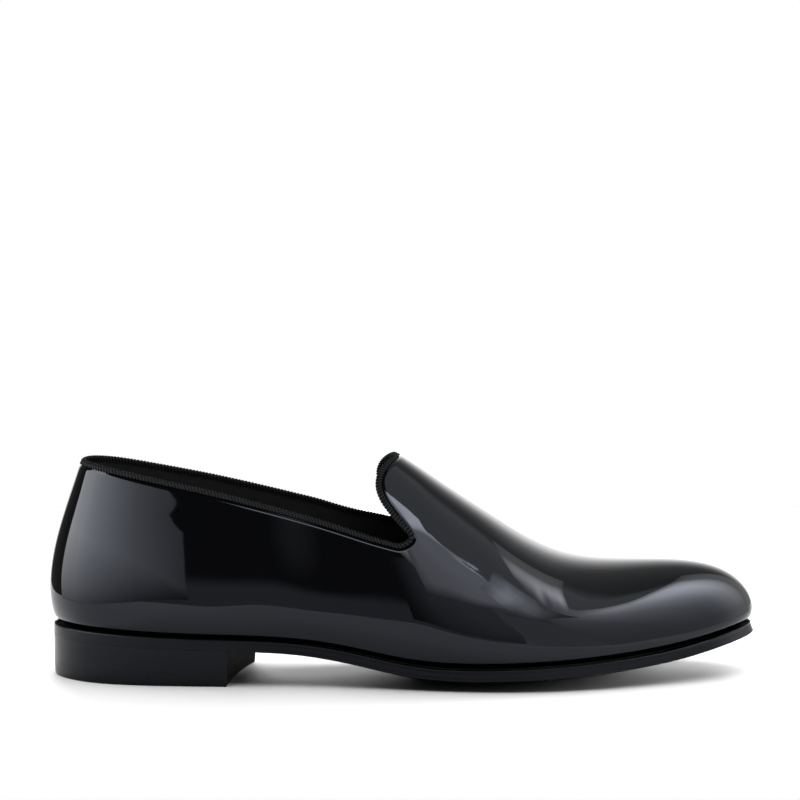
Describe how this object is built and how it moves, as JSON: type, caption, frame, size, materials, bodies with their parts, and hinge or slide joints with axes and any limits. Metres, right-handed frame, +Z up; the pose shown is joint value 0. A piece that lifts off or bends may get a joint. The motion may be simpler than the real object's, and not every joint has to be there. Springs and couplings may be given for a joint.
{
  "type": "slip-on shoe",
  "caption": "Right-foot evening slipper: glossy black leather upper, ribbon-bound collar with a rounded throat tab, leather sole with toe spring, low heel.",
  "frame": {"origin": "on the floor, under the middle of the shoe's box", "axes": "+X from heel to toe, +Y to the inner side of the foot, +Z up"},
  "size_m": [0.3018, 0.1006, 0.0961],
  "materials": {
    "patent_leather": "black patent, mirror gloss",
    "ribbon": "black ribbed ribbon, dull",
    "sole_leather": "black stained edge, satin",
    "heel_leather": "black stained, satin",
    "heel_rubber": "black, dull",
    "lining_leather": "black, soft"
  },
  "bodies": {
    "root": {"upper": "patent_leather", "collar_binding": "ribbon", "outsole": "sole_leather", "heel_stack": "heel_leather", "heel_top_piece": "heel_rubber", "insole": "lining_leather"}
  },
  "joints": []
}
